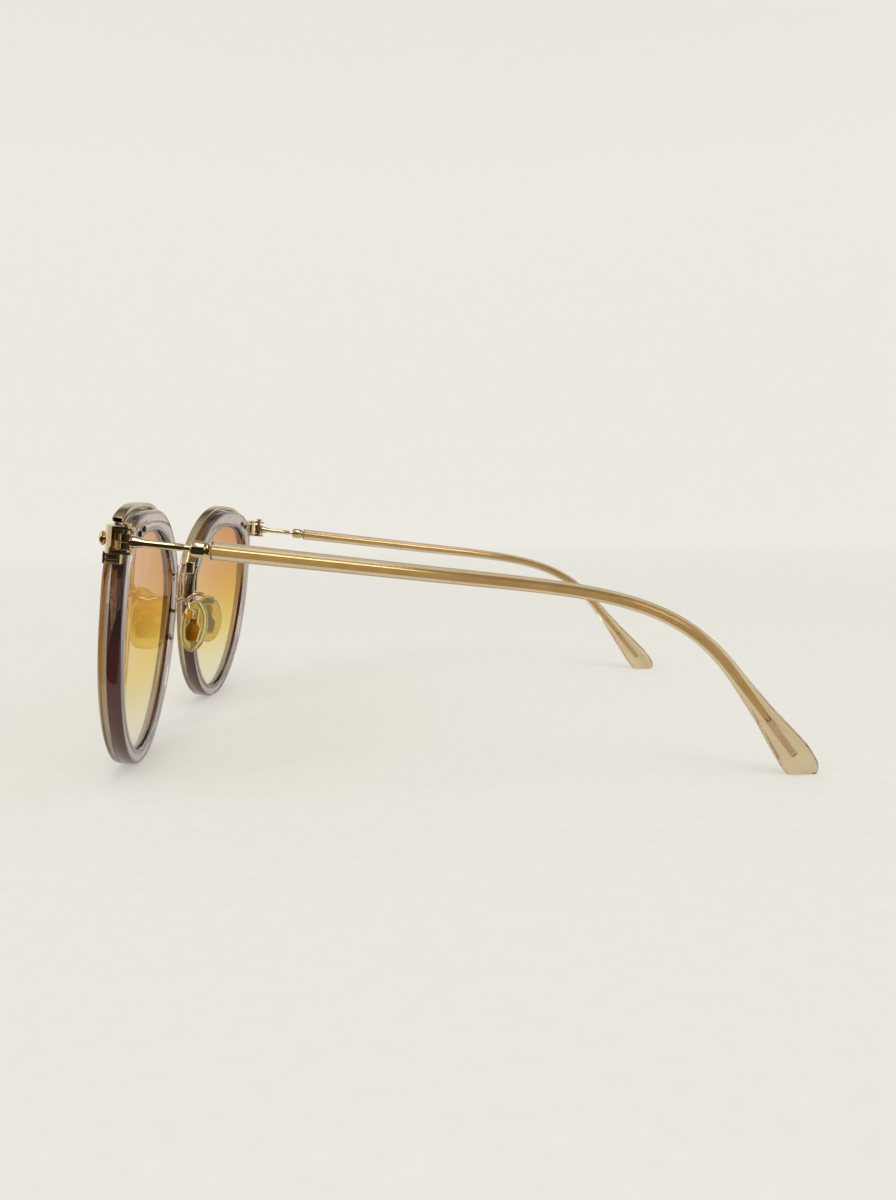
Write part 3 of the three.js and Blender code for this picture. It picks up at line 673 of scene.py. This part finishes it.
def bridge():
    """The bridge. Known fault: only its two feet come through, and the arch between them is lost."""
    made = add_object("bridge.fine", mesh_of("bridge", bridge_shells(), ON_FRONT, 1))
    plug = rim_disc(OUTER, 0.12, [(0, -4), (1, -4), (1, 8), (0, 8)])
    for side, sign in SIDES:
        cut_away(made, f"plug_{side}", [plug], ON_RIM, sign)
    fuse(made, 0.11, 8)
    finish_piece(made, GOLD, "gold_metal", "front", "bridge")


bridge()

# ------------------------------------------------------------------ end pieces


def end_piece(side, sign):
    name = f"end_piece_{side}"
    sheet, low, high = BRACKET["sheet"], BRACKET["bottom"], BRACKET["top"]
    shells = [prism(fillet(BRACKET_PLAN, 0.8, 4), low, high)]
    made = add_object(name + ".fine", mesh_of(name, shells, ON_FRONT, sign))
    pocket = [prism(fillet(POCKET_PLAN, 0.25, 3), low + sheet, high - sheet * 0.8)]
    cut_away(made, "pocket", pocket, ON_FRONT, sign)
    plug = rim_disc(OUTER, 0.2, [(0, -4), (1, -4), (1, 9), (0, 9)])
    cut_away(made, "plug", [plug], ON_RIM, sign)
    soften(made, 0.14)
    foot = add_object("foot", mesh_of("foot", [block((59, 3.2, FOOT["bottom"]),
                                                     (FOOT["outer"], 6.3, low + 0.02))], ON_FRONT, sign))
    for depth, base, top in FOOT["recesses"]:
        recess = [block((FOOT["outer"] - depth, 3.7, base), (FOOT["outer"] + 1, 5.9, top))]
        cut_away(foot, "recess", recess, ON_FRONT, sign)
    cut_away(foot, "plug", [plug], ON_RIM, sign)
    soften(foot, 0.1)
    take_in(made, foot.data)
    bpy.data.objects.remove(foot)
    finish_piece(made, GOLD, "gold_metal", "front", name)


def stud_shell():
    profile = fillet([(0, -0.7), (0.6, -0.7), (0.6, 0.15), (1.3, 0.15), (1.25, 0.5), (0.8, 0.85), (0, 0.95)],
                     0.2, 4, False)
    return lathe(profile, STUD, STUD + Vector((0, -1, 0)))


for side, sign in SIDES:
    end_piece(side, sign)
    piece(f"front_stud_{side}", [stud_shell()], ON_FRONT, sign, GOLD, "gold_metal", "front")

# ------------------------------------------------------------------ temples


def temple_line(step=0.25):
    """Points along the temple from the hinge to the tip, and how far along each one lies."""
    into = (BEND_START - HINGE_ON_TABLE).normalized()
    down = (TIP - BEND_END).normalized()
    a, b = BEND_START, BEND_START + into * BEND_REACH[0]
    c, d = BEND_END - down * BEND_REACH[1], BEND_END
    bend = [a * (1 - t) ** 3 + b * 3 * t * (1 - t) ** 2 + c * 3 * t**2 * (1 - t) + d * t**3
            for t in (i / 400 for i in range(401))]
    rough = [HINGE_ON_TABLE, *bend, TIP]
    points, along, total = [], [], 0.0
    for p, q in zip(rough, rough[1:]):
        count = max(1, round((q - p).length / step))
        for k in range(count):
            points.append(p.lerp(q, k / count))
            along.append(total + (q - p).length * k / count)
        total += (q - p).length
    return [*points, TIP.copy()], [*along, total]


LINE, ALONG = temple_line()
TEMPLE_LENGTH = ALONG[-1]
CORE_END = TEMPLE_LENGTH - 14.8
SLOT_END = TEMPLE_LENGTH - 5.9


def temple_point(s):
    s = min(max(s, 0.0), TEMPLE_LENGTH)
    low, high = 0, len(ALONG) - 1
    while high - low > 1:
        mid = (low + high) // 2
        low, high = (mid, high) if ALONG[mid] <= s else (low, mid)
    share = (s - ALONG[low]) / (ALONG[high] - ALONG[low])
    return LINE[low].lerp(LINE[high], share)


def temple_ring(s, a, b, sides, floor=False):
    """A ring about the temple's line: half sizes `a` sideways and `b` across that."""
    at = temple_point(s)
    tangent = (temple_point(s + 0.3) - temple_point(s - 0.3)).normalized()
    across = (Vector((1, 0, 0)) - tangent * tangent.x).normalized()
    up = across.cross(tangent)
    ring = []
    for k in range(sides):
        q = 2 * math.pi * k / sides
        p = at + across * a * math.cos(q) + up * b * math.sin(q)
        ring.append(Vector((p.x, p.y, max(p.z, TABLE) if floor else p.z)))
    return ring


def spread(start, end, step):
    count = max(1, round((end - start) / step))
    return [start + (end - start) * k / count for k in range(count + 1)]


def sleeve_size(s):
    """Half sizes of the sleeve at a distance from the hinge."""

    def plain(d):
        for (d0, a0, b0), (d1, a1, b1) in zip(SLEEVE_SIZES, SLEEVE_SIZES[1:]):
            if d <= d1:
                k = max(0, d - d0) / (d1 - d0)
                return Vector((a0 + (a1 - a0) * k, b0 + (b1 - b0) * k))
        return Vector(SLEEVE_SIZES[-1][1:])

    d = TEMPLE_LENGTH - s
    soft = min(1.2, d / 2)
    return (plain(d - soft) + plain(d) * 2 + plain(d + soft)) / 4


def sleeve_shells():
    tip = TEMPLE_LENGTH
    straight, bend = spread(SLEEVE_START + 0.15, 54, 1.5), spread(54.8, tip - 8, 0.8)
    stops = [*straight, *bend, *spread(tip - 7.6, tip - 0.3, 0.35)]
    body = [temple_ring(SLEEVE_START, *(sleeve_size(SLEEVE_START) * 0.92), 32)]
    body += [temple_ring(s, *sleeve_size(s), 32, True) for s in stops]
    body += [temple_ring(tip - 0.1, *(sleeve_size(tip) * 0.9), 32, True),
             temple_ring(tip, *(sleeve_size(tip) * 0.66), 32, True)]
    bore = [temple_ring(s, BORE, BORE, 40) for s in spread(SLEEVE_START + 0.02, CORE_END - 0.2, 1.2)]
    bore += [temple_ring(s, 0.5, 0.75, 40) for s in spread(CORE_END - 0.1, SLOT_END, 0.8)]
    bore.append(temple_ring(SLOT_END + 0.15, 0.3, 0.5, 40))
    return [loft(body)], [loft(bore)]


def core_shell():
    """The wire of the temple: a cone at the hinge, a step, and a thinner end inside the sleeve."""
    start, shoulder, end, wide = CONE["start"], CONE["shoulder"], CONE["end"], CONE["wide"]
    rows = [(start, 0.5), (start + 0.05, wide * 0.9), (shoulder, wide), (shoulder + 0.12, wide * 0.99),
            (end - 0.1, WIRE_R + 0.03), (end + 0.15, WIRE_R), (9.6, WIRE_R), (9.85, CORE_R)]
    rows += [(s, CORE_R) for s in spread(11, CORE_END - 0.3, 1.5)]
    rows += [(CORE_END - 0.1, CORE_R * 0.85), (CORE_END, CORE_R * 0.45)]
    return loft([temple_ring(s, r, r, 40) for s, r in rows])


def barrel_shell():
    r, half = KNUCKLE_R, KNUCKLE_HALF
    profile = [(0.6, -half), (r - 0.08, -half), (r, -half + 0.08), (r, -0.17), (r - 0.2, -0.1),
               (r - 0.2, 0.1), (r, 0.17), (r, half - 0.08), (r - 0.08, half), (0.6, half)]
    return lathe([(p[0], p[1] + half) for p in profile], HINGE - Vector((0, 0, half)), HINGE)


def ferrule_shell():
    start = temple_point(FERRULE_START + 0.2)
    end, neck = FERRULE_LENGTH, SLEEVE_START - FERRULE_START - 0.45
    corners = [(0.7, 0), (1.15, 0), (1.45, 0.35), (1.45, end - 0.3), (1.2, end), (1.2, neck), (0.7, neck)]
    profile = fillet(corners, 0.25, 4, False)
    return lathe(profile, start, temple_point(FERRULE_START + 2), 64)


for side, sign in SIDES:
    body = f"temple_{side}"
    barrel = mesh_of("barrel", [barrel_shell()], ON_FRONT, sign)
    core = add_object(f"temple_core_{side}.fine", mesh_of("core", [core_shell()], ON_TABLE, sign))
    take_in(core, barrel)
    cut_away(core, "screw_hole", [lathe([(0.65, 0), (0.65, 6)], HINGE - Vector((0, 0, 3)), HINGE)],
             ON_FRONT, sign)
    finish_piece(core, GOLD, "gold_metal", body, f"temple_core_{side}")
    piece(f"ferrule_{side}", [ferrule_shell()], ON_TABLE, sign, GOLD, "gold_metal", body)
    outer, bore = sleeve_shells()
    piece(f"temple_sleeve_{side}", outer, ON_TABLE, sign, CHAMPAGNE, "sleeve_resin", body, bore)

# ------------------------------------------------------------------ nose pads


def pad_shell():
    """A soft pad: flat where it bears on the nose, with a rounded edge."""
    w, h, sides = PAD["half_width"], PAD["half_height"], 64
    rows = fillet([(0.002, 1.15), (0.6, 1.15), (0.8, 1.02), (0.95, 0.62), (1, 0.05), (0.96, -0.5),
                   (0.84, -0.9), (0.4, -0.95), (0.002, -0.95)], 0.2, 3, closed=False)
    rings = []
    for share, x in rows:
        turn = [2 * math.pi * k / sides for k in range(sides)]
        rings.append([Vector((x, w * share * math.cos(q), h * share * math.sin(q))) for q in turn])
    return loft(rings)


INSERT_PLAN = [
    (-1.3, -3.7), (1.3, -3.7), (1.9, -0.6), (0.9, 0.4), (0.9, 3.9), (-0.9, 3.9), (-0.9, 0.4), (-1.9, -0.6),
]
TAB = {"half": 0.45, "back": -2.65, "top": 3.2, "bottom": 1.4}


def raised(plan, low, high):
    """A plan (y, z) in pad coordinates, raised along x."""
    return loft([[Vector((x, p[0], p[1])) for p in plan] for x in (low, high)])


def insert_shells():
    tab = block((TAB["back"], -TAB["half"], TAB["bottom"]), (-0.8, TAB["half"], TAB["top"]))
    return [raised(fillet(INSERT_PLAN, 0.7, 4), -0.85, -0.05), tab]


def pad_arm(side, sign):
    inner, outer, back, front, top, bottom = CHEEK.values()
    outline_box = fillet([(back, -outer), (back, outer), (front, outer), (front, -outer)], 0.35, 4)
    box = add_object("box", mesh_of("box", [prism(outline_box, bottom, top)], ON_PAD, sign))
    gap = block((back + 0.45, -inner, bottom - 1), (front + 1, inner, top + 1))
    cut_away(box, "gap", [gap], ON_PAD, sign)
    soften(box, 0.1)
    v = NASAL_PINS["pad_arm_pin"]
    flat = ON_FRONT.inverted() @ ON_RIM
    root = flat @ Vector((nasal_wall(v) - 0.65, NASAL_PIN_W, v))
    on_box = pad_place() @ Vector((back + 0.1, 0, 2.6))
    loop = [(6.5, 2.1, -1.9), (7.1, 3.6, -0.75), (8.5, 5.2, -1.0), (9.9, 6.2, -2.6)]
    path = smooth_curve([root, *loop, on_box])
    made = add_object(f"pad_arm_{side}.fine", mesh_of(
        "arm", [tube(path, 0.5, 0.5, Vector((1, 0, 0.2)))], ON_FRONT, sign))
    take_in(made, box.data)
    bpy.data.objects.remove(box)
    finish_piece(made, GOLD, "gold_metal", "front", f"pad_arm_{side}")


for side, sign in SIDES:
    body = f"nose_pad_{side}"
    pad = add_object(f"nose_pad_{side}.fine", mesh_of("pad", [pad_shell()], ON_PAD, sign))
    ends = [0.2 if z > 1 else -0.2 if z < -2 else 0 for _, z in INSERT_PLAN]
    grown = [(y + math.copysign(0.2, y), z + end) for (y, z), end in zip(INSERT_PLAN, ends)]
    cut_away(pad, "slot", [raised(grown, -1.5, 0.15)], ON_PAD, sign)
    finish_piece(pad, SILICONE, "pad_silicone", body, f"nose_pad_{side}")
    insert = piece(f"pad_insert_{side}", insert_shells(), ON_PAD, sign, AMBER, "pad_core", body)
    start = PAD_PIVOT - Vector((0, 3, 0))
    cut_away(insert, "hole", [lathe([(0.5, 0), (0.5, 6)], start, PAD_PIVOT)], ON_PAD, sign)
    soften(insert, 0.08, 2)
    pad_arm(side, sign)
    stay = smooth_curve([(7.6, 3.5, 5.4), (7.15, 3.4, 3.0), (7.0, 3.45, 0.3)])
    piece(f"pad_stay_{side}", [tube(stay, 0.42, 0.42, Vector((1, 0, 0)))], ON_FRONT, sign, GOLD, "gold_metal",
          "front")

# ------------------------------------------------------------------ small parts kept from the CAD model


def refine(name, material, width):
    """Gives a kept CAD part its material, and rounds its edges."""
    part = frame["nodes"][name]
    weld = part.modifiers.new("weld", "WELD")
    weld.merge_threshold = 1e-6
    flat = part.modifiers.new("flat", "DECIMATE")
    flat.decimate_type = "DISSOLVE"
    flat.angle_limit = math.radians(2)
    edges = part.modifiers.new("edges", "BEVEL")
    edges.width = width * MM
    edges.segments = 2
    edges.limit_method = "ANGLE"
    edges.angle_limit = math.radians(40)
    part.data.materials.clear()
    part.data.materials.append(material)


for side, _ in SIDES:
    refine(f"hinge_screw_{side}", GOLD, 0.05)
    refine(f"bridge_pin_{side}", DARK_METAL, 0.04)
    refine(f"pad_arm_pin_{side}", DARK_METAL, 0.04)
    refine(f"pad_screw_{side}", GOLD, 0.04)
    refine(f"rivet_1_{side}", DARK_METAL, 0.05)
    refine(f"rivet_2_{side}", DARK_METAL, 0.05)

# ------------------------------------------------------------------ floor, light and camera


def floor():
    """A round pale floor that curves up into a backdrop. It gives off part of its own light."""
    sides, radius, curve, top = 96, 1.3, 0.9, 2.2
    rows = [(0.001, 0.0), (0.35, 0.0), (radius, 0.0)]
    rows += [(radius + curve * math.sin(q), curve * (1 - math.cos(q)))
             for q in (math.pi / 2 * k / 10 for k in range(1, 11))]
    rows.append((radius + curve, top))
    bm = bmesh.new()
    rings = [[bm.verts.new((r * math.cos(2 * math.pi * k / sides), r * math.sin(2 * math.pi * k / sides), z))
              for k in range(sides)] for r, z in rows]
    for a, b in zip(rings, rings[1:]):
        for k in range(sides):
            bm.faces.new((a[k], a[(k + 1) % sides], b[(k + 1) % sides], b[k]))
    bm.faces.new(rings[0])
    mesh = bpy.data.meshes.new("floor")
    bmesh.ops.recalc_face_normals(bm, faces=bm.faces)
    bm.to_mesh(mesh)
    bm.free()
    mesh.shade_smooth()
    m, shader = new_material("paper", 0.9)
    shader.inputs["Specular IOR Level"].default_value = 0.1
    grain = ramp(m, noise(m, 300, 4), [(0.3, linear(186, 185, 181)), (0.7, linear(190, 189, 185))])
    wire(m, grain, shader.inputs["Base Color"])
    glow = ramp(m, distance(m, 0.25, 1.3), [(0.0, linear(161, 159, 154)), (1.0, linear(181, 179, 174))])
    wire(m, glow, shader.inputs["Emission Color"])
    shader.inputs["Emission Strength"].default_value = 1.0
    mesh.materials.append(m)
    add_object("floor", mesh)


def light(name, at, size, power, colour=(1, 1, 1)):
    data = bpy.data.lights.new(name, "AREA")
    data.shape = "RECTANGLE"
    data.size, data.size_y = size
    data.energy = power
    data.color = colour
    made = add_object(name, data)
    made.location = at
    made.rotation_euler = (-Vector(at)).to_track_quat("-Z", "Y").to_euler()


def card(name, at, size, facing=None):
    """A black card that only the glossy surfaces see, to give the metal its dark lines."""
    w, h = size[1] / 2, size[0] / 2
    mesh = bpy.data.meshes.new(name)
    mesh.from_pydata([(-w, -h, 0), (w, -h, 0), (w, h, 0), (-w, h, 0)], [], [(0, 1, 2, 3)])
    m, shader = new_material(name, 0.9)
    wire(m, ramp(m, noise(m, 4), [(0.3, (0.01, 0.01, 0.01)), (0.7, (0.02, 0.02, 0.02))]),
         shader.inputs["Base Color"])
    mesh.materials.append(m)
    made = add_object(name, mesh)
    made.location = at
    made.rotation_euler = (facing or -Vector(at)).to_track_quat("Z", "Y").to_euler()
    made.visible_camera = made.visible_diffuse = made.visible_transmission = made.visible_shadow = False


def world():
    """Even light from above, and a darker band round the sides for the metal to reflect."""
    made = bpy.data.worlds.new("studio")
    made.use_nodes = True
    bpy.context.scene.world = made
    sky = made.node_tree.nodes["Background"]
    place = node(made, "ShaderNodeTexCoord")
    split = node(made, "ShaderNodeSeparateXYZ")
    wire(made, place.outputs["Generated"], split.inputs["Vector"])
    tone = ramp(made, split.outputs["Z"], [
        (0.0, (0.3, 0.29, 0.28)), (0.2, (0.35, 0.34, 0.33)),
        (0.55, (1.5, 1.48, 1.42)), (1.0, (2.1, 2.08, 2.0)),
    ])
    wire(made, tone, sky.inputs["Color"])
    sky.inputs["Strength"].default_value = 0.25


def camera():
    """The photographer's place: low, beside the wearer's left temple, looking across."""
    yaw, pitch, roll = 0.0392, -0.0936, -0.0183
    ahead = Vector((-math.cos(yaw) * math.cos(pitch), math.sin(yaw) * math.cos(pitch), math.sin(pitch)))
    right = ahead.cross(Vector((0, 0, 1))).normalized()
    up = right.cross(ahead)
    x = right * math.cos(roll) + up * math.sin(roll)
    y = up * math.cos(roll) - right * math.sin(roll)
    data = bpy.data.cameras.new("camera")
    data.lens = 27.234
    data.sensor_width = 36
    data.sensor_fit = "VERTICAL"
    data.sensor_height = 36
    data.clip_start = 0.005
    data.clip_end = 20
    made = add_object("camera", data)
    turn = Matrix((x, y, -ahead)).transposed().to_4x4()
    made.matrix_world = Matrix.Translation((0.227506, -0.007365, 0.050638)) @ turn
    bpy.context.scene.camera = made


bpy.context.scene.view_settings.view_transform = "Standard"
floor()
light("overhead", (0.7, 0.05, 1.35), (0.4, 1.0), 5.6)
light("window", (0.7, -1.0, 0.9), (0.3, 0.8), 2.1, (1, 0.99, 0.96))
light("fill", (1.0, 0.9, 0.6), (0.25, 0.6), 1.17)
card("card_front", (0.95, 0.0, 0.42), (0.3, 1.6))
card("card_low", (0.6, -0.1, 0.0), (0.42, 1.3))
card("card_floor", (0.36, -0.1, 0.003), (1.3, 0.56), Vector((0, 0, 1)))
card("card_left", (-0.1, 0.9, 0.75), (0.5, 1.2))
card("card_back", (-0.9, 0.0, 0.8), (0.35, 1.4))
world()
camera()
